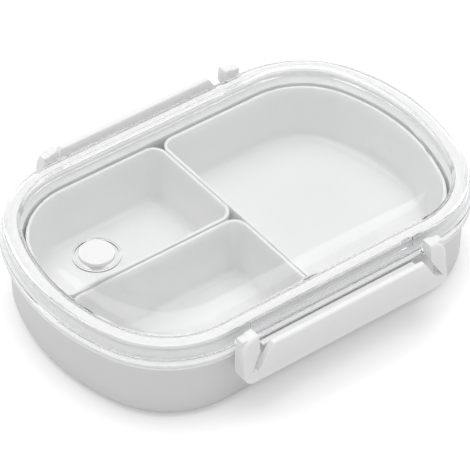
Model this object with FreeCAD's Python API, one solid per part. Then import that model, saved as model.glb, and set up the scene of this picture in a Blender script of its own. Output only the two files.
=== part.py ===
"""Lunch box: double-walled box, three loose trays, clear locking lid, vent valve and two clips."""
import FreeCAD, Part
import math
import os

os.makedirs("parts", exist_ok=True)

V = FreeCAD.Vector

# ---- driving dimensions, millimetres -------------------------------------------------------
# Plan outline: the outer edge of the lid's flange. Every other outline is offset from it.
outline_length = 200.0
outline_width = 130.3
corner_radius = 43.1
end_radius = 101.2

flange_top = 43.0          # top of the lid's flange above the table
floor_core = -20.0         # offset at which the swept walls meet the flat floors
lid_core = -24.0           # offset at which the swept dome meets its flat top

# Outer shell
shell_wall = 1.6
shell_top_offset = -1.4
shell_foot_offset = -2.2
foot_round = 5.0
foot_ring_height = 0.6
foot_ring_width = 1.8
foot_ring_offset = -9.0

# Inner tub
tub_wall = 1.6
tub_mouth_offset = -7.8    # inner edge of the ledge round the trays
tub_draft = 1.0
tub_floor_round = 4.0
floor_gap = 2.2            # air between the two floors
flange_band_offset = 2.0
flange_band_height = 2.9
groove_depth = 0.5
rim_wall = 1.7
rim_offset = -1.9
rim_height = 2.8           # sealing rim above the curve of the ledge
ledge_round = 1.5
ledge_drop = 0.3
lip_depth = 3.0            # locating lip that drops inside the shell
lip_wall = 1.4
lip_play = 0.2
soft_edge = 0.4            # radius of the small moulded edges

# Trays
tray_top_drop = 9.0        # tray rims below the flange top
tray_wall = 1.4
tray_offset = -9.2
tray_draft = 2.2
tray_corner = 7.0
tray_floor_corner = 6.0
tray_floor_round = 4.2
divider_x = -1.8
divider_y = -2.0
gap_x = 0.4
gap_y = 1.0

# Lid
lid_wall = 1.6
dome_foot_offset = -5.8
dome_rise = 4.6
dome_shoulder_radius = 15.3
dome_side_angle = 39.0
dome_riser = 1.2
flange_round = 1.0
skirt_drop = 6.6
skirt_flare = 0.5
lid_lip_offset = 2.4
lid_lip_height = 1.3
rib_drop = 2.8
rib_wall = 1.3
rib_setback = 0.2
seal_thickness = 1.6
seal_clearance = 0.1
recess_setback = 10.7      # ends of the flange recess, in from the ends of the clips
recess_depth = 0.7
recess_sill = 0.7          # skirt left below the recess
notch_length = 4.0
notch_setback = 5.3
notch_depth = 0.6
notch_sill = 0.4

# Vent valve
valve_inset = 27.5         # valve centre in from the end of the lid
valve_ridge_radius = 10.3
valve_ridge_wall = 0.9
valve_ridge_height = 0.7
valve_hole_radius = 3.1
button_radius = 7.7
button_thickness = 1.8
button_round = 0.5
washer_thickness = 0.6
washer_radius = 6.9
stem_radius = 2.5
stem_foot_radius = 4.0
stem_foot_height = 1.2
valve_travel = 2.0
valve_play = 0.2

# Clips. Depths are measured outward from the side of the outline, drops down from the flange top,
# and setbacks inward from the ends of the clip.
clip_overrun = 0.45        # clip ends beyond the straight part of the side
clip_face_out = 11.95
clip_wall = 3.0
clip_depth = 8.3
clip_drop = 22.8
clip_top_corner = 7.5
clip_foot_corner = 4.5
clip_edge_round = 1.4
ear_width = 8.3
ear_lean = 3.1             # top of each ear set in from the face of the clip
ear_wall = 1.8
cap_wall = 2.0
tongue_drop = 5.0
tongue_setback = 13.6
tongue_round = 0.9
slot_width = 3.5
slot_slope = 0.6           # outward run of the slots for each millimetre down
slot_drop = 17.0
lug_setback = 7.7
lug_length = 5.0
catch_angle = 48.0         # slope of the lid lug and of the hook that pulls it down
catch_clearance = 0.3
lug_reach_out = 6.15       # outward reach of the lid's catch lugs
lug_band_gap = 0.5         # air between the lugs and the tub's flange band
lug_nose = 0.4
lug_root_gap = 0.7         # flat of the lug between the lid's lip and the slope
hook_overhang = 0.5        # hook carried out past the lug

# Clip hinges
pivot_out_gap = 5.85
pivot_drop = 19.6
pin_radius = 1.5
pin_clearance = 0.06
pin_shortfall = 0.3
knuckle_radius = 2.6
knuckle_length = 4.2
pin_setback = 13.6
hinge_side_gap = 0.3
hinge_lug_width = 3.0
hinge_lug_radius = 1.9
rail_setback = 13.0
rail_reach_out = 5.45
rail_top_drop = 10.4
rail_bottom_drop = 14.2
rail_shelf_height = 2.1
rail_band_gap = 0.35
rail_round = 0.6

# ---- derived levels and places -------------------------------------------------------------
half_length = outline_length / 2
half_width = outline_width / 2
tray_rim_z = flange_top - tray_top_drop
flange_under = flange_top - lid_wall
rim_top = flange_under - seal_thickness
band_top = tray_rim_z
band_bottom = band_top - flange_band_height
shell_floor_top = foot_ring_height + shell_wall
tub_floor_bottom = shell_floor_top + floor_gap
tub_floor_top = tub_floor_bottom + tub_wall
dome_top = flange_top + dome_rise
lid_lip_bottom = flange_top - skirt_drop
valve_x = valve_inset - half_length
side_run = half_length - end_radius + math.sqrt(
    (end_radius - corner_radius) ** 2 - (half_width - corner_radius) ** 2)

clip_half_length = side_run + clip_overrun
clip_face = half_width + clip_face_out
clip_bottom = flange_top - clip_drop
ear_inner = clip_half_length - ear_width
tongue_top = flange_top - tongue_drop
tongue_half_length = clip_half_length - tongue_setback
slot_bottom = flange_top - slot_drop
lean_slope = ear_lean / clip_drop
lug_start = clip_half_length - lug_setback
lug_reach = half_width + lug_reach_out
recess_half_length = clip_half_length - recess_setback

pivot_out = half_width + pivot_out_gap
pivot_z = flange_top - pivot_drop
pin_start = clip_half_length - pin_setback
rail_half_length = clip_half_length - rail_setback
rail_reach = half_width + rail_reach_out
rail_top = flange_top - rail_top_drop
rail_bottom = flange_top - rail_bottom_drop


# ---- outline and section helpers -----------------------------------------------------------
def arc(cx, cy, radius, start, end, z):
    """Circular edge in plan from angle start to angle end, in radians."""
    angles = (start, (start + end) / 2, end)
    points = [V(cx + radius * math.cos(a), cy + radius * math.sin(a), z) for a in angles]
    return Part.Arc(*points).toShape()


def outline_centres():
    """Centre of the corner arcs, centre of the end arcs and the angle where they meet."""
    corner_y = half_width - corner_radius
    end_x = half_length - end_radius
    meet = math.atan2(corner_y, side_run - end_x)
    return side_run, corner_y, end_x, meet


def outline(offset, z):
    """Closed plan outline of the box, offset outward, starting midway along the front."""
    cx, cy, ex, meet = outline_centres()
    r_corner = corner_radius + offset
    r_end = end_radius + offset
    y = half_width + offset
    quarter = math.pi / 2
    edges = [
        Part.makeLine(V(0, -y, z), V(cx, -y, z)),
        arc(cx, -cy, r_corner, -quarter, -meet, z),
        arc(ex, 0, r_end, -meet, meet, z),
        arc(cx, cy, r_corner, meet, quarter, z),
        Part.makeLine(V(cx, y, z), V(-cx, y, z)),
        arc(-cx, cy, r_corner, quarter, math.pi - meet, z),
        arc(-ex, 0, r_end, math.pi - meet, math.pi + meet, z),
        arc(-cx, -cy, r_corner, math.pi + meet, 3 * quarter, z),
        Part.makeLine(V(-cx, -y, z), V(0, -y, z)),
    ]
    return Part.Wire(edges)


def rounded_section(corners):
    """Closed wire in the front's cross-section from corners (offset, z) or (offset, z, radius)."""
    points = [V(c[0], c[1], 0) for c in corners]
    radii = [c[2] if len(c) > 2 else 0.0 for c in corners]
    starts, arcs, ends = [], [], []
    for i, point in enumerate(points):
        before = points[i - 1].sub(point).normalize()
        after = points[(i + 1) % len(points)].sub(point).normalize()
        if radii[i] == 0:
            starts.append(point)
            arcs.append(None)
            ends.append(point)
            continue
        half = before.getAngle(after) / 2
        tangent = radii[i] / math.tan(half)
        middle = before.add(after).normalize()
        centre = point.add(middle * (radii[i] / math.sin(half)))
        starts.append(point.add(before * tangent))
        arcs.append(centre.sub(middle * radii[i]))
        ends.append(point.add(after * tangent))

    def place(p):
        return V(0, -half_width - p.x, p.y)

    edges = []
    for i in range(len(points)):
        if arcs[i] is not None:
            edges.append(Part.Arc(place(starts[i]), place(arcs[i]), place(ends[i])).toShape())
        following = starts[(i + 1) % len(points)]
        if ends[i].distanceToPoint(following) > 1e-4:
            edges.append(Part.makeLine(place(ends[i]), place(following)))
    return Part.Wire(edges)


def ring(corners):
    """Section carried round the box's outline."""
    return outline(0, 0).makePipeShell([rounded_section(corners)], True, False)


def plate(offset, bottom, top):
    """Flat plate that fills the outline at an offset."""
    return Part.Face(outline(offset, bottom)).extrude(V(0, 0, top - bottom))


def joined(shapes):
    """One clean solid from touching shapes."""
    result = shapes[0].fuse(shapes[1:]).removeSplitter()
    return result.Solids[0] if len(result.Solids) == 1 else result


def front_block(x0, x1, out0, out1, z0, z1):
    """Box on the front side, with depths measured outward from the centre line."""
    return Part.makeBox(x1 - x0, out1 - out0, z1 - z0, V(x0, -out1, z0))


def front_prism(corners, x0, x1):
    """Prism along X on the front side from corners (outward, z)."""
    points = [V(x0, -out, z) for out, z in corners]
    return Part.Face(Part.makePolygon(points + points[:1])).extrude(V(x1 - x0, 0, 0))


def front_rod(out, z, radius, x0, x1):
    """Round rod along X on the front side."""
    return Part.makeCylinder(radius, x1 - x0, V(x0, -out, z), V(1, 0, 0))


def both_ends(shape):
    """The shape and its mirror image at the other end of the box."""
    return [shape, shape.mirror(V(0, 0, 0), V(1, 0, 0))]


def turned(shape):
    """The shape turned half a turn, from the front side to the back."""
    copy = shape.copy()
    copy.rotate(V(0, 0, 0), V(0, 0, 1), 180)
    return copy


def edges_where(shape, test):
    """Edges whose middle point passes a test."""
    return [e for e in shape.Edges if test(e.valueAt((e.FirstParameter + e.LastParameter) / 2), e)]


def along(edge, direction):
    """True for a straight edge parallel to a direction."""
    if edge.Curve.TypeId != "Part::GeomLine":
        return False
    run = edge.valueAt(edge.LastParameter).sub(edge.valueAt(edge.FirstParameter))
    return run.cross(direction).Length < 1e-6 * max(run.Length, 1)


# ---- box -----------------------------------------------------------------------------------
def hinge_rail():
    """Rail on the front of the shell that stands clear of the flange band."""
    root = half_width + shell_top_offset - shell_wall / 2
    rail_inner = half_width + flange_band_offset + rail_band_gap
    shelf_top = rail_bottom + rail_shelf_height
    shelf = front_block(-rail_half_length, rail_half_length, root, rail_reach, rail_bottom, shelf_top)
    upstand = front_block(-rail_half_length, rail_half_length, rail_inner, rail_reach, rail_bottom, rail_top)
    top = edges_where(upstand, lambda p, e: along(e, V(1, 0, 0)) and abs(p.z - rail_top) < 0.01)
    return [shelf, upstand.makeFillet(rail_round, top)]


def hinge_lug():
    """Ear hanging from the right end of the rail, with its moulded pin."""
    x0 = pin_start - hinge_lug_width
    r = hinge_lug_radius
    root_z = rail_bottom + rail_shelf_height / 4
    arm = front_prism([
        (pivot_out - r, pivot_z), (pivot_out - r, rail_bottom - r),
        (pivot_out - 2 * r, root_z), (rail_reach, root_z),
        (pivot_out + r, rail_bottom - r), (pivot_out + r, pivot_z)], x0, pin_start)
    end = front_rod(pivot_out, pivot_z, r, x0, pin_start)
    pin_end = pin_start + hinge_side_gap + knuckle_length - pin_shortfall
    pin = front_rod(pivot_out, pivot_z, pin_radius, x0, pin_end)
    return joined([arm, end, pin])


def outer_shell():
    """Outer box with foot ring, hinge rails and pins."""
    body = ring([
        (shell_top_offset, band_bottom),
        (shell_foot_offset, foot_ring_height, foot_round),
        (floor_core, foot_ring_height),
        (floor_core, shell_floor_top),
        (shell_foot_offset - shell_wall, shell_floor_top, foot_round - shell_wall),
        (shell_top_offset - shell_wall, band_bottom)])
    floor = plate(floor_core, foot_ring_height, shell_floor_top)
    foot = plate(foot_ring_offset, 0, foot_ring_height).cut(
        plate(foot_ring_offset - foot_ring_width, 0, foot_ring_height))
    pieces = [body, floor, foot]
    fittings = hinge_rail() + both_ends(hinge_lug())
    pieces += fittings
    pieces += [turned(p) for p in fittings]
    return joined(pieces)


def inner_tub():
    """Inner box: sealing rim, ledge round the trays, flange band and floor."""
    lip_outer = shell_top_offset - shell_wall - lip_play
    lip_inner = lip_outer - lip_wall
    floor_inner = tub_mouth_offset - tub_draft
    groove_top = band_top - flange_band_height * 0.4
    groove_bottom = band_top - flange_band_height * 0.6
    wall = ring([
        (rim_offset, rim_top, soft_edge),
        (rim_offset - rim_wall, rim_top, soft_edge),
        (rim_offset - rim_wall, rim_top - rim_height, ledge_round),
        (tub_mouth_offset, band_top + ledge_drop, soft_edge),
        (floor_inner, tub_floor_top, tub_floor_round),
        (floor_core, tub_floor_top),
        (floor_core, tub_floor_bottom),
        (floor_inner + tub_wall, tub_floor_bottom, tub_floor_round + tub_wall),
        (tub_mouth_offset + tub_wall, band_bottom),
        (lip_inner, band_bottom),
        (lip_inner, band_bottom - lip_depth),
        (lip_outer, band_bottom - lip_depth),
        (lip_outer, band_bottom),
        (flange_band_offset, band_bottom, soft_edge),
        (flange_band_offset, groove_bottom),
        (flange_band_offset - groove_depth, groove_bottom),
        (flange_band_offset - groove_depth, groove_top),
        (flange_band_offset, groove_top),
        (flange_band_offset, band_top, soft_edge),
        (rim_offset, band_top)])
    return joined([wall, plate(floor_core, tub_floor_bottom, tub_floor_top)])


# ---- trays ---------------------------------------------------------------------------------
def large_outline(inset, corner, z):
    """Right-hand tray's outline, drawn inward by an inset."""
    cx, cy, ex, meet = outline_centres()
    offset = tray_offset - inset
    y = half_width + offset
    left = divider_x + gap_x / 2 + inset
    quarter = math.pi / 2
    edges = [
        Part.makeLine(V(left + corner, -y, z), V(cx, -y, z)),
        arc(cx, -cy, corner_radius + offset, -quarter, -meet, z),
        arc(ex, 0, end_radius + offset, -meet, meet, z),
        arc(cx, cy, corner_radius + offset, meet, quarter, z),
        Part.makeLine(V(cx, y, z), V(left + corner, y, z)),
        arc(left + corner, y - corner, corner, quarter, math.pi, z),
        Part.makeLine(V(left, y - corner, z), V(left, corner - y, z)),
        arc(left + corner, corner - y, corner, math.pi, 3 * quarter, z),
    ]
    return Part.Wire(edges)


def small_outline(inset, corner, z, side, edge_y):
    """Left-hand tray's outline behind (side 1) or in front of (side -1) the cross divider."""
    cx, cy, ex, meet = outline_centres()
    offset = tray_offset - inset
    y = half_width + offset
    right = divider_x - gap_x / 2 - inset
    low = edge_y + inset
    r_end = end_radius + offset
    quarter = math.pi / 2
    near_y = low + corner
    near_x = -ex - math.sqrt((r_end - corner) ** 2 - near_y ** 2)
    near_angle = math.atan2(near_y, near_x + ex)
    edges = [
        Part.makeLine(V(near_x, low, z), V(right - corner, low, z)),
        arc(right - corner, low + corner, corner, -quarter, 0, z),
        Part.makeLine(V(right, low + corner, z), V(right, y - corner, z)),
        arc(right - corner, y - corner, corner, 0, quarter, z),
        Part.makeLine(V(right - corner, y, z), V(-cx, y, z)),
        arc(-cx, cy, corner_radius + offset, quarter, math.pi - meet, z),
        arc(-ex, 0, r_end, math.pi - meet, near_angle, z),
        arc(near_x, near_y, corner, near_angle, 3 * quarter, z),
    ]
    wire = Part.Wire(edges)
    return wire if side > 0 else wire.mirror(V(0, 0, 0), V(0, 1, 0))


def drafted(draw, top_inset, floor_inset, top_z, floor_z, floor_round):
    """Solid between a rim outline and a smaller floor outline, with a rounded floor edge."""
    top = draw(top_inset, tray_corner - top_inset, top_z)
    floor = draw(floor_inset, tray_floor_corner - top_inset, floor_z)
    solid = Part.makeLoft([top, floor], True, True)
    rim = edges_where(solid, lambda p, e: abs(p.z - floor_z) < 0.001)
    return solid.makeFillet(floor_round, rim)


def tray(draw):
    """Open tray with drafted walls and a rounded floor."""
    floor_z = tub_floor_top
    outer = drafted(draw, 0, tray_draft, tray_rim_z, floor_z, tray_floor_round)
    inner_round = tray_floor_round - tray_wall / 2
    inner = drafted(draw, tray_wall, tray_draft + tray_wall, tray_rim_z + 0.001, floor_z + tray_wall, inner_round)
    shell = outer.cut(inner)
    rim = edges_where(shell, lambda p, e: abs(p.z - tray_rim_z) < 0.01)
    return shell.makeFillet(tray_wall * 0.3, rim)


def tray_large():
    return tray(large_outline)


def tray_back_left():
    edge = divider_y + gap_y / 2
    return tray(lambda inset, corner, z: small_outline(inset, corner, z, 1, edge))


def tray_front_left():
    edge = -divider_y + gap_y / 2
    return tray(lambda inset, corner, z: small_outline(inset, corner, z, -1, edge))


# ---- lid -----------------------------------------------------------------------------------
def dome_corner(inward):
    """Offset of the corner between the dome's side and its top, for a skin moved inward."""
    side = math.radians(dome_side_angle)
    foot_offset = dome_foot_offset - dome_riser / 2
    foot_z = flange_top + dome_riser
    run = (dome_top - foot_z) / math.tan(side)
    return foot_offset - run - inward * math.tan(side / 2)


def catch_lug():
    """Catch lug on the front right of the lid's skirt, with a sloped outer face."""
    root = half_width + skirt_flare - lid_wall / 2
    slope = math.tan(math.radians(catch_angle))
    low_z = band_top + lug_band_gap
    inner_out = half_width + lid_lip_offset + lug_root_gap
    top_z = low_z + lug_nose + (lug_reach - inner_out) * slope
    return front_prism([
        (root, low_z), (lug_reach - lug_nose, low_z), (lug_reach, low_z + lug_nose),
        (inner_out, top_z), (root, top_z)], lug_start, lug_start + lug_length)


def lid():
    """Clear lid: low dome, flat flange, skirt with lip, catch lugs and valve hole."""
    side = math.radians(dome_side_angle)
    dome_inner_top = dome_top - lid_wall
    rib_outer = dome_foot_offset - rib_setback
    rib_inner = rib_outer - rib_wall
    inner_radius = dome_shoulder_radius - lid_wall
    inner_corner = dome_corner(lid_wall)
    inner_foot_z = dome_inner_top - (rib_inner - inner_corner) * math.tan(side)
    lid_lip_top = lid_lip_bottom + lid_lip_height
    skin = ring([
        (lid_core, dome_top),
        (dome_corner(0), dome_top, dome_shoulder_radius),
        (dome_foot_offset - dome_riser / 2, flange_top + dome_riser, soft_edge),
        (dome_foot_offset, flange_top, soft_edge),
        (0, flange_top, flange_round),
        (skirt_flare, lid_lip_top + soft_edge, soft_edge),
        (lid_lip_offset, lid_lip_top, soft_edge),
        (lid_lip_offset, lid_lip_bottom, soft_edge),
        (skirt_flare - lid_wall, lid_lip_bottom, soft_edge),
        (-lid_wall, flange_under),
        (rib_outer, flange_under),
        (rib_outer, flange_under - rib_drop, soft_edge),
        (rib_inner, flange_under - rib_drop, soft_edge),
        (rib_inner, inner_foot_z),
        (inner_corner, dome_inner_top, inner_radius),
        (lid_core, dome_inner_top)])
    top = plate(lid_core, dome_inner_top, dome_top)
    lugs = both_ends(catch_lug())
    lugs += [turned(p) for p in lugs]
    ridge = Part.makeCylinder(valve_ridge_radius, valve_ridge_height, V(valve_x, 0, dome_top))
    well = Part.makeCylinder(valve_ridge_radius - valve_ridge_wall, valve_ridge_height, V(valve_x, 0, dome_top))
    body = joined([skin, top, ridge.cut(well)] + lugs)
    beyond = 2 * lid_wall
    recess = front_block(-recess_half_length, recess_half_length, half_width - recess_depth,
                         half_width + beyond, lid_lip_top + recess_sill, flange_top + beyond)
    notch_start = recess_half_length - notch_setback
    notch = front_block(notch_start, notch_start + notch_length, half_width - recess_depth - notch_depth,
                        half_width + beyond, flange_under + notch_sill, flange_top + beyond)
    hole = Part.makeCylinder(valve_hole_radius, dome_top, V(valve_x, 0, dome_inner_top - beyond))
    return body.cut([recess, turned(recess), notch, hole]).removeSplitter().Solids[0]


def lid_seal():
    """Soft gasket in the channel under the lid's flange."""
    outer = -lid_wall - seal_clearance
    inner = dome_foot_offset - rib_setback + seal_clearance
    return ring([
        (outer, flange_under, soft_edge / 2),
        (outer, rim_top, soft_edge),
        (inner, rim_top, soft_edge),
        (inner, flange_under, soft_edge / 2)])


def valve_button():
    """Round vent button with the stem that holds it in the lid."""
    head_bottom = dome_top + washer_thickness
    foot_top = dome_top - lid_wall - valve_travel - valve_play
    head = Part.makeCylinder(button_radius, button_thickness, V(valve_x, 0, head_bottom))
    crown = edges_where(head, lambda p, e: p.z > head_bottom + button_thickness - 0.01)
    head = head.makeFillet(button_round, crown)
    stem = Part.makeCylinder(stem_radius, head_bottom - foot_top + valve_play, V(valve_x, 0, foot_top))
    foot = Part.makeCylinder(stem_foot_radius, stem_foot_height, V(valve_x, 0, foot_top - stem_foot_height))
    return joined([head, stem, foot])


def valve_seal():
    """Soft washer between the button and the lid."""
    disc = Part.makeCylinder(washer_radius, washer_thickness, V(valve_x, 0, dome_top))
    bore = Part.makeCylinder(stem_radius, washer_thickness, V(valve_x, 0, dome_top))
    return disc.cut(bore)


# ---- clips ---------------------------------------------------------------------------------
def face_out(z):
    """Outward place of the strip's and ears' face at a level; it leans in towards the top."""
    return clip_face - (z - clip_bottom) * lean_slope


def clip_blank():
    """Outer form of the front clip's strip and ears, with its corners rounded."""
    inner = clip_face - clip_depth
    blank = front_prism([
        (inner, clip_bottom), (clip_face, clip_bottom),
        (face_out(flange_top), flange_top), (inner, flange_top)], -clip_half_length, clip_half_length)
    upper = edges_where(blank, lambda p, e: along(e, V(0, 1, 0)) and p.z > flange_top - 0.01)
    blank = blank.makeFillet(clip_top_corner, upper)
    lower = edges_where(blank, lambda p, e: along(e, V(0, 1, 0)) and p.z < clip_bottom + 0.01)
    blank = blank.makeFillet(clip_foot_corner, lower)
    face = edges_where(blank, lambda p, e: abs(-p.y - face_out(p.z)) < 0.01)
    return blank.makeFillet(clip_edge_round, face)


def clip_hollow():
    """Space behind the face of the clip, between its end walls and under its caps."""
    below = clip_bottom - clip_wall
    cap_under = flange_top - cap_wall
    reach = clip_half_length - ear_wall
    return front_prism([
        (0, below), (face_out(below) - clip_wall, below),
        (face_out(cap_under) - clip_wall, cap_under), (0, cap_under)], -reach, reach)


def side_plan(corners, out0, out1):
    """Prism across the front side from a right-hand outline of (x, z), mirrored to the left."""
    points = [V(x, -out1, z) for x, z in corners] + [V(-x, -out1, z) for x, z in reversed(corners)]
    return Part.Face(Part.makePolygon(points + points[:1])).extrude(V(0, out1 - out0, 0))


def clip_window():
    """Opening between the ears, with slanted feet beside the tongue."""
    foot = tongue_half_length + slot_width + (slot_drop - tongue_drop) * slot_slope
    bend_z = slot_bottom + (foot - ear_inner) / slot_slope
    top = flange_top + clip_wall
    return side_plan([(foot, slot_bottom), (ear_inner, bend_z), (ear_inner, top)], 0, clip_face + clip_wall)


def clip_tongue():
    """Pull tongue between the slanted slots; its top stands proud of the ears."""
    root_z = slot_bottom - clip_edge_round
    root = tongue_half_length + (tongue_top - root_z) * slot_slope
    plan = side_plan([(root, root_z), (tongue_half_length, tongue_top)], 0, clip_face + clip_wall)
    skin = front_prism([
        (face_out(root_z) - clip_wall, root_z), (face_out(root_z), root_z),
        (clip_face, tongue_top), (clip_face - clip_wall, tongue_top)], -root, root)
    tongue = skin.common(plan)
    edge = edges_where(tongue, lambda p, e: along(e, V(1, 0, 0)) and abs(p.z - tongue_top) < 0.01)
    return tongue.makeFillet(tongue_round, edge)


def clip_hook():
    """Hook under the right ear's cap that bears on the lid's sloped lug."""
    slope = math.tan(math.radians(catch_angle))
    rise = catch_clearance / math.cos(math.radians(catch_angle))
    outer_z = band_top + lug_band_gap + lug_nose
    inner_out = clip_face - clip_depth
    inner_z = outer_z + (lug_reach - inner_out) * slope + rise
    outer_out = lug_reach + hook_overhang
    low_z = outer_z - hook_overhang * slope + rise
    cap_z = flange_top - cap_wall / 2
    back = face_out(cap_z) - clip_wall / 2
    return front_prism([
        (inner_out, inner_z), (outer_out, low_z), (back, low_z),
        (back, cap_z), (inner_out, cap_z)], ear_inner, clip_half_length - ear_wall / 2)


def clip_knuckle():
    """Right-hand hinge knuckle behind the clip's bottom strip."""
    x0 = pin_start + hinge_side_gap
    x1 = x0 + knuckle_length
    barrel = front_rod(pivot_out, pivot_z, knuckle_radius, x0, x1)
    low_z = clip_bottom + (pivot_z - knuckle_radius - clip_bottom) * 0.6
    web = front_block(x0, x1, pivot_out, clip_face - clip_wall / 2, low_z, pivot_z + knuckle_radius)
    return [barrel, web]


def front_clip():
    """Locking clip: bottom strip, two ears with hooks, and the pull tongue between them."""
    frame = clip_blank().cut([clip_window(), clip_hollow()])
    pieces = [frame, clip_tongue()]
    for piece in clip_knuckle() + [clip_hook()]:
        pieces += both_ends(piece)
    bore = front_rod(pivot_out, pivot_z, pin_radius + pin_clearance, pin_start - knuckle_length,
                     pin_start + 2 * knuckle_length)
    return joined(pieces).cut(both_ends(bore)).removeSplitter()


def back_clip():
    return turned(front_clip())


# ---- export --------------------------------------------------------------------------------
NODES = {
    "outer_shell": outer_shell,
    "inner_tub": inner_tub,
    "tray_large": tray_large,
    "tray_back_left": tray_back_left,
    "tray_front_left": tray_front_left,
    "lid": lid,
    "lid_seal": lid_seal,
    "valve_button": valve_button,
    "valve_seal": valve_seal,
    "front_clip": front_clip,
    "back_clip": back_clip,
}

for name, build in NODES.items():
    shape = build()
    shape.exportStep("parts/" + name + ".step")
    print(name, "solids", len(shape.Solids), "valid", shape.isValid(), "volume", round(shape.Volume))
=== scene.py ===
import math

import bpy
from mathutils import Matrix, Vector

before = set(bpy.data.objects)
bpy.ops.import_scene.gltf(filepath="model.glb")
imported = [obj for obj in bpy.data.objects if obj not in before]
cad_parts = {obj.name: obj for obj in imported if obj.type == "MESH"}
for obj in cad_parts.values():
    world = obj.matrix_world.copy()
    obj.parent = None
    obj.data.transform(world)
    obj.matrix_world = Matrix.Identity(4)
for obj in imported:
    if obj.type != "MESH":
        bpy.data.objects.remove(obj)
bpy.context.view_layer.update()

print("frame loaded")


camera = {
    "azimuth": -36.84,        # degrees round from the front
    "elevation": 41.3,
    "distance": 1.3655,       # metres from the middle of the lid's flange
    "lens": 247.56,
    "sensorWidth": 36,
    "clipStart": 0.05,
    "clipEnd": 20,
    "flangeHeight": 0.043,
    "aim": (-0.0077, -0.0083, 0.0302),
}


def turnTowards(item, target):
    item.rotation_euler = (Vector(target) - item.location).to_track_quat("-Z", "Y").to_euler()


def makeCamera(settings):
    azimuth = math.radians(settings["azimuth"])
    elevation = math.radians(settings["elevation"])
    back = Vector((math.sin(azimuth) * math.cos(elevation),
                   -math.cos(azimuth) * math.cos(elevation),
                   math.sin(elevation)))
    data = bpy.data.cameras.new("productCamera")
    data.lens = settings["lens"]
    data.sensor_width = settings["sensorWidth"]
    data.clip_start = settings["clipStart"]
    data.clip_end = settings["clipEnd"]
    cam = bpy.data.objects.new("productCamera", data)
    cam.location = Vector((0, 0, settings["flangeHeight"])) + back * settings["distance"]
    turnTowards(cam, settings["aim"])
    bpy.context.scene.collection.objects.link(cam)
    bpy.context.scene.camera = cam


makeCamera(camera)
print("camera placed")


def addNode(tree, kind, place, **values):
    node = tree.nodes.new(kind)
    node.location = place
    for name, value in values.items():
        setattr(node, name, value)
    return node


def setInputs(node, values):
    for name, value in values.items():
        node.inputs[name].default_value = value


def newMaterial(name):
    material = bpy.data.materials.new(name)
    material.use_nodes = True
    material.node_tree.nodes.clear()
    return material, material.node_tree


noiseSpread = {"From Min": 0.3, "From Max": 0.7}      # the range that most of a noise lies in

mouldedFinishSettings = {
    "inputs": {"Grain Size": 2600.0, "Flow Size": 14.0, "Gloss Low": 0.28, "Gloss High": 0.4,
               "Tone Change": 0.015},
    "grainDetail": 2.0,
    "flow": {"Detail": 3.0, "Distortion": 0.6},
    "toneFloor": 0.992,
}


# Satin moulding finish: fine grain for the bump, slow changes in gloss, and a faint tone from flow
def makeMouldedFinish(settings):
    group = bpy.data.node_groups.new("mouldedFinish", "ShaderNodeTree")
    face = group.interface
    face.new_socket("Colour", in_out="INPUT", socket_type="NodeSocketColor")
    for name, value in settings["inputs"].items():
        socket = face.new_socket(name, in_out="INPUT", socket_type="NodeSocketFloat")
        socket.default_value = value
    face.new_socket("Colour", in_out="OUTPUT", socket_type="NodeSocketColor")
    face.new_socket("Roughness", in_out="OUTPUT", socket_type="NodeSocketFloat")
    face.new_socket("Height", in_out="OUTPUT", socket_type="NodeSocketFloat")

    start = addNode(group, "NodeGroupInput", (-900, 0))
    end = addNode(group, "NodeGroupOutput", (600, 0))
    coords = addNode(group, "ShaderNodeTexCoord", (-900, 300))
    grain = addNode(group, "ShaderNodeTexNoise", (-600, 300))
    grain.inputs["Detail"].default_value = settings["grainDetail"]
    flow = addNode(group, "ShaderNodeTexNoise", (-600, 0))
    setInputs(flow, settings["flow"])
    gloss = addNode(group, "ShaderNodeMapRange", (-200, 0))
    setInputs(gloss, noiseSpread)
    tone = addNode(group, "ShaderNodeMath", (-200, -250), operation="MULTIPLY_ADD")
    tone.inputs[2].default_value = settings["toneFloor"]
    shade = addNode(group, "ShaderNodeHueSaturation", (200, 200))

    link = group.links.new
    link(coords.outputs["Object"], grain.inputs["Vector"])
    link(coords.outputs["Object"], flow.inputs["Vector"])
    link(start.outputs["Grain Size"], grain.inputs["Scale"])
    link(start.outputs["Flow Size"], flow.inputs["Scale"])
    link(flow.outputs["Fac"], gloss.inputs["Value"])
    link(start.outputs["Gloss Low"], gloss.inputs["To Min"])
    link(start.outputs["Gloss High"], gloss.inputs["To Max"])
    link(flow.outputs["Fac"], tone.inputs[0])
    link(start.outputs["Tone Change"], tone.inputs[1])
    link(tone.outputs[0], shade.inputs["Value"])
    link(start.outputs["Colour"], shade.inputs["Color"])
    link(shade.outputs["Color"], end.inputs["Colour"])
    link(gloss.outputs["Result"], end.inputs["Roughness"])
    link(grain.outputs["Fac"], end.inputs["Height"])
    return group


mouldedFinish = makeMouldedFinish(mouldedFinishSettings)
print("shared finish built")


boxLook = {
    "colour": (0.77, 0.77, 0.775, 1),
    "grain": 2400,
    "glossLow": 0.3,
    "glossHigh": 0.42,
    "bump": 0.05,
    "milky": 0.1,             # how much light glows through the walls
}
tubLook = {
    "colour": (0.9, 0.905, 0.91, 1),
    "grain": 2400,
    "glossLow": 0.3,
    "glossHigh": 0.42,
    "bump": 0.05,
    "milky": 0.8,
}
trayLook = {
    "colour": (0.97, 0.97, 0.97, 1),
    "grain": 2800,
    "glossLow": 0.3,
    "glossHigh": 0.4,
    "bump": 0.04,
    "milky": 0.8,
}
clipLook = {
    "colour": (0.86, 0.86, 0.865, 1),
    "grain": 2600,
    "glossLow": 0.26,
    "glossHigh": 0.36,
    "bump": 0.05,
    "milky": 0.6,
}
valveLook = {
    "colour": (0.87, 0.87, 0.87, 1),
    "grain": 3000,
    "glossLow": 0.3,
    "glossHigh": 0.4,
    "bump": 0.03,
    "milky": 0.2,
}
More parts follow.
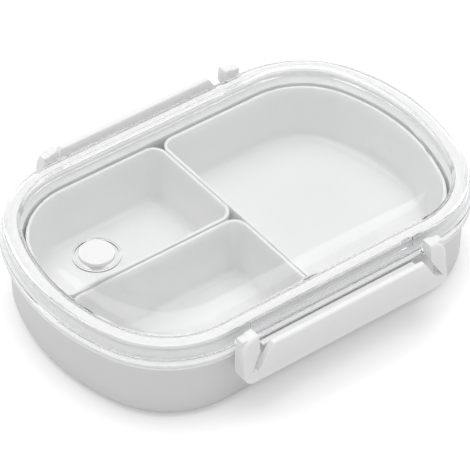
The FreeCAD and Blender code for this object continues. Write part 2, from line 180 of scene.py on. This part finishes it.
siliconeLook = {
    "colour": (0.93, 0.93, 0.93, 1),
    "grain": 3500,
    "glossLow": 0.45,
    "glossHigh": 0.55,
    "bump": 0.03,
    "milky": 0.6,
}
whitePlastic = {
    "ior": 1.49,
    "grainDepth": 0.0002,     # metres
    "glowColours": (1, 1, 1),
    "glowDepth": 0.005,       # metres
}


def mouldedPlastic(name, look):
    material, tree = newMaterial(name)
    finish = addNode(tree, "ShaderNodeGroup", (-500, 0), node_tree=mouldedFinish)
    setInputs(finish, {"Colour": look["colour"], "Grain Size": look["grain"],
                       "Gloss Low": look["glossLow"], "Gloss High": look["glossHigh"]})
    bump = addNode(tree, "ShaderNodeBump", (-250, -250))
    setInputs(bump, {"Strength": look["bump"], "Distance": whitePlastic["grainDepth"]})
    plastic = addNode(tree, "ShaderNodeBsdfPrincipled", (0, 0))
    setInputs(plastic, {"IOR": whitePlastic["ior"], "Subsurface Weight": look["milky"],
                        "Subsurface Radius": whitePlastic["glowColours"],
                        "Subsurface Scale": whitePlastic["glowDepth"]})
    out = addNode(tree, "ShaderNodeOutputMaterial", (300, 0))
    link = tree.links.new
    link(finish.outputs["Colour"], plastic.inputs["Base Color"])
    link(finish.outputs["Roughness"], plastic.inputs["Roughness"])
    link(finish.outputs["Height"], bump.inputs["Height"])
    link(bump.outputs["Normal"], plastic.inputs["Normal"])
    link(plastic.outputs["BSDF"], out.inputs["Surface"])
    return material


lidLook = {
    "colour": (0.985, 0.99, 0.99, 1),
    "glossLow": 0.02,
    "glossHigh": 0.05,
    "ior": 1.3,
    "clear": 1.0,
    "ripple": 0.015,
    "rippleSize": 28,
    "rippleDepth": 0.001,     # metres
    "lightThrough": (0.99, 0.99, 0.99, 1),
}


# Clear plastic that lets lamplight and matt light straight through to the trays
def clearPlastic(look):
    material, tree = newMaterial("clearPlastic")
    coords = addNode(tree, "ShaderNodeTexCoord", (-900, 0))
    ripple = addNode(tree, "ShaderNodeTexNoise", (-650, -200))
    ripple.inputs["Scale"].default_value = look["rippleSize"]
    gloss = addNode(tree, "ShaderNodeMapRange", (-300, 50))
    setInputs(gloss, noiseSpread)
    setInputs(gloss, {"To Min": look["glossLow"], "To Max": look["glossHigh"]})
    bump = addNode(tree, "ShaderNodeBump", (-300, -250))
    setInputs(bump, {"Strength": look["ripple"], "Distance": look["rippleDepth"]})
    plastic = addNode(tree, "ShaderNodeBsdfPrincipled", (0, 0))
    setInputs(plastic, {"Base Color": look["colour"], "IOR": look["ior"],
                        "Transmission Weight": look["clear"]})
    through = addNode(tree, "ShaderNodeBsdfTransparent", (0, 200))
    through.inputs["Color"].default_value = look["lightThrough"]
    path = addNode(tree, "ShaderNodeLightPath", (-300, 500))
    lit = addNode(tree, "ShaderNodeMath", (-50, 400), operation="MAXIMUM")
    mix = addNode(tree, "ShaderNodeMixShader", (300, 0))
    out = addNode(tree, "ShaderNodeOutputMaterial", (500, 0))
    link = tree.links.new
    link(coords.outputs["Object"], ripple.inputs["Vector"])
    link(ripple.outputs["Fac"], gloss.inputs["Value"])
    link(gloss.outputs["Result"], plastic.inputs["Roughness"])
    link(ripple.outputs["Fac"], bump.inputs["Height"])
    link(bump.outputs["Normal"], plastic.inputs["Normal"])
    link(path.outputs["Is Shadow Ray"], lit.inputs[0])
    link(path.outputs["Is Diffuse Ray"], lit.inputs[1])
    link(lit.outputs[0], mix.inputs["Fac"])
    link(plastic.outputs["BSDF"], mix.inputs[1])
    link(through.outputs["BSDF"], mix.inputs[2])
    link(mix.outputs["Shader"], out.inputs["Surface"])
    return material


def finishNodes(material, *nodes):
    for node in nodes:
        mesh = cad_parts[node].data
        mesh.materials.clear()
        mesh.materials.append(material)


finishNodes(mouldedPlastic("boxPlastic", boxLook), "outer_shell")
finishNodes(mouldedPlastic("tubPlastic", tubLook), "inner_tub")
finishNodes(mouldedPlastic("trayPlastic", trayLook),
            "tray_large", "tray_back_left", "tray_front_left")
finishNodes(mouldedPlastic("clipPlastic", clipLook), "front_clip", "back_clip")
finishNodes(mouldedPlastic("valvePlastic", valveLook), "valve_button")
finishNodes(mouldedPlastic("silicone", siliconeLook), "lid_seal", "valve_seal")
finishNodes(clearPlastic(lidLook), "lid")
print("finishes placed")


# One for rays that no matt surface has scattered yet, so only what is looked at gets the backdrop
def beforeMattBounce(tree, path, place):
    direct = addNode(tree, "ShaderNodeMath", place, operation="LESS_THAN")
    direct.inputs[1].default_value = 0.5      # between no bounce and one
    tree.links.new(path.outputs["Diffuse Depth"], direct.inputs[0])
    return direct.outputs[0]


floorLook = {
    "halfSide": 2.0,          # metres
    "drop": 0.0002,           # metres under the foot ring
    "colour": (0.93, 0.93, 0.93, 1),
    "roughness": 0.9,
    "gloss": 0.1,
    "lift": 0.25,             # light added for the camera and the lid only
}


def makeFloor(look):
    mesh = bpy.data.meshes.new("studioFloor")
    half = look["halfSide"]
    corners = [(-half, -half, 0), (half, -half, 0), (half, half, 0), (-half, half, 0)]
    mesh.from_pydata(corners, [], [(0, 1, 2, 3)])
    floor = bpy.data.objects.new("studioFloor", mesh)
    floor.location.z = -look["drop"]
    bpy.context.scene.collection.objects.link(floor)
    material, tree = newMaterial("paperSweep")
    paper = addNode(tree, "ShaderNodeBsdfPrincipled", (0, 0))
    setInputs(paper, {"Base Color": look["colour"], "Roughness": look["roughness"],
                      "Specular IOR Level": look["gloss"]})
    lift = addNode(tree, "ShaderNodeEmission", (0, 250))
    path = addNode(tree, "ShaderNodeLightPath", (-800, 400))
    shown = addNode(tree, "ShaderNodeMath", (-550, 350), operation="MAXIMUM")
    seen = addNode(tree, "ShaderNodeMath", (-350, 400), operation="MULTIPLY")
    strength = addNode(tree, "ShaderNodeMath", (-150, 400), operation="MULTIPLY")
    strength.inputs[1].default_value = look["lift"]
    both = addNode(tree, "ShaderNodeAddShader", (250, 100))
    out = addNode(tree, "ShaderNodeOutputMaterial", (450, 100))
    link = tree.links.new
    link(path.outputs["Is Camera Ray"], shown.inputs[0])
    link(path.outputs["Is Transmission Ray"], shown.inputs[1])
    link(beforeMattBounce(tree, path, (-550, 550)), seen.inputs[0])
    link(shown.outputs[0], seen.inputs[1])
    link(seen.outputs[0], strength.inputs[0])
    link(strength.outputs[0], lift.inputs["Strength"])
    link(paper.outputs["BSDF"], both.inputs[0])
    link(lift.outputs["Emission"], both.inputs[1])
    link(both.outputs["Shader"], out.inputs["Surface"])
    mesh.materials.append(material)


room = {
    "light": 0.52,            # how brightly the room lights the object
    "backdrop": 1.0,          # what the camera, the gloss and the lid see
    "colour": (1, 1, 1, 1),
}


def makeRoom(settings):
    world = bpy.data.worlds.new("studioRoom")
    world.use_nodes = True
    tree = world.node_tree
    tree.nodes.clear()
    path = addNode(tree, "ShaderNodeLightPath", (-1000, 0))
    glossOrGlass = addNode(tree, "ShaderNodeMath", (-800, -100), operation="MAXIMUM")
    seenInGlass = addNode(tree, "ShaderNodeMath", (-600, -150), operation="MULTIPLY")
    seen = addNode(tree, "ShaderNodeMath", (-400, 0), operation="MAXIMUM")
    strength = addNode(tree, "ShaderNodeMapRange", (-200, 0))
    setInputs(strength, {"To Min": settings["light"], "To Max": settings["backdrop"]})
    sky = addNode(tree, "ShaderNodeBackground", (0, 0))
    sky.inputs["Color"].default_value = settings["colour"]
    out = addNode(tree, "ShaderNodeOutputWorld", (200, 0))
    link = tree.links.new
    link(path.outputs["Is Glossy Ray"], glossOrGlass.inputs[0])
    link(path.outputs["Is Transmission Ray"], glossOrGlass.inputs[1])
    link(glossOrGlass.outputs[0], seenInGlass.inputs[0])
    link(beforeMattBounce(tree, path, (-800, -300)), seenInGlass.inputs[1])
    link(path.outputs["Is Camera Ray"], seen.inputs[0])
    link(seenInGlass.outputs[0], seen.inputs[1])
    link(seen.outputs[0], strength.inputs["Value"])
    link(strength.outputs["Result"], sky.inputs["Strength"])
    link(sky.outputs["Background"], out.inputs["Surface"])
    bpy.context.scene.world = world


softbox = {
    "place": (0.05, 0.15, 1.35),
    "aim": (0, 0, 0),
    "size": 1.5,              # metres
    "power": 13.8,            # watts
}


def makeSoftbox(settings):
    data = bpy.data.lights.new("overheadSoftbox", "AREA")
    data.energy = settings["power"]
    data.size = settings["size"]
    lamp = bpy.data.objects.new("overheadSoftbox", data)
    lamp.location = settings["place"]
    turnTowards(lamp, settings["aim"])
    bpy.context.scene.collection.objects.link(lamp)


makeFloor(floorLook)
makeRoom(room)
makeSoftbox(softbox)
bpy.context.scene.view_settings.view_transform = "Standard"
print("studio lit")
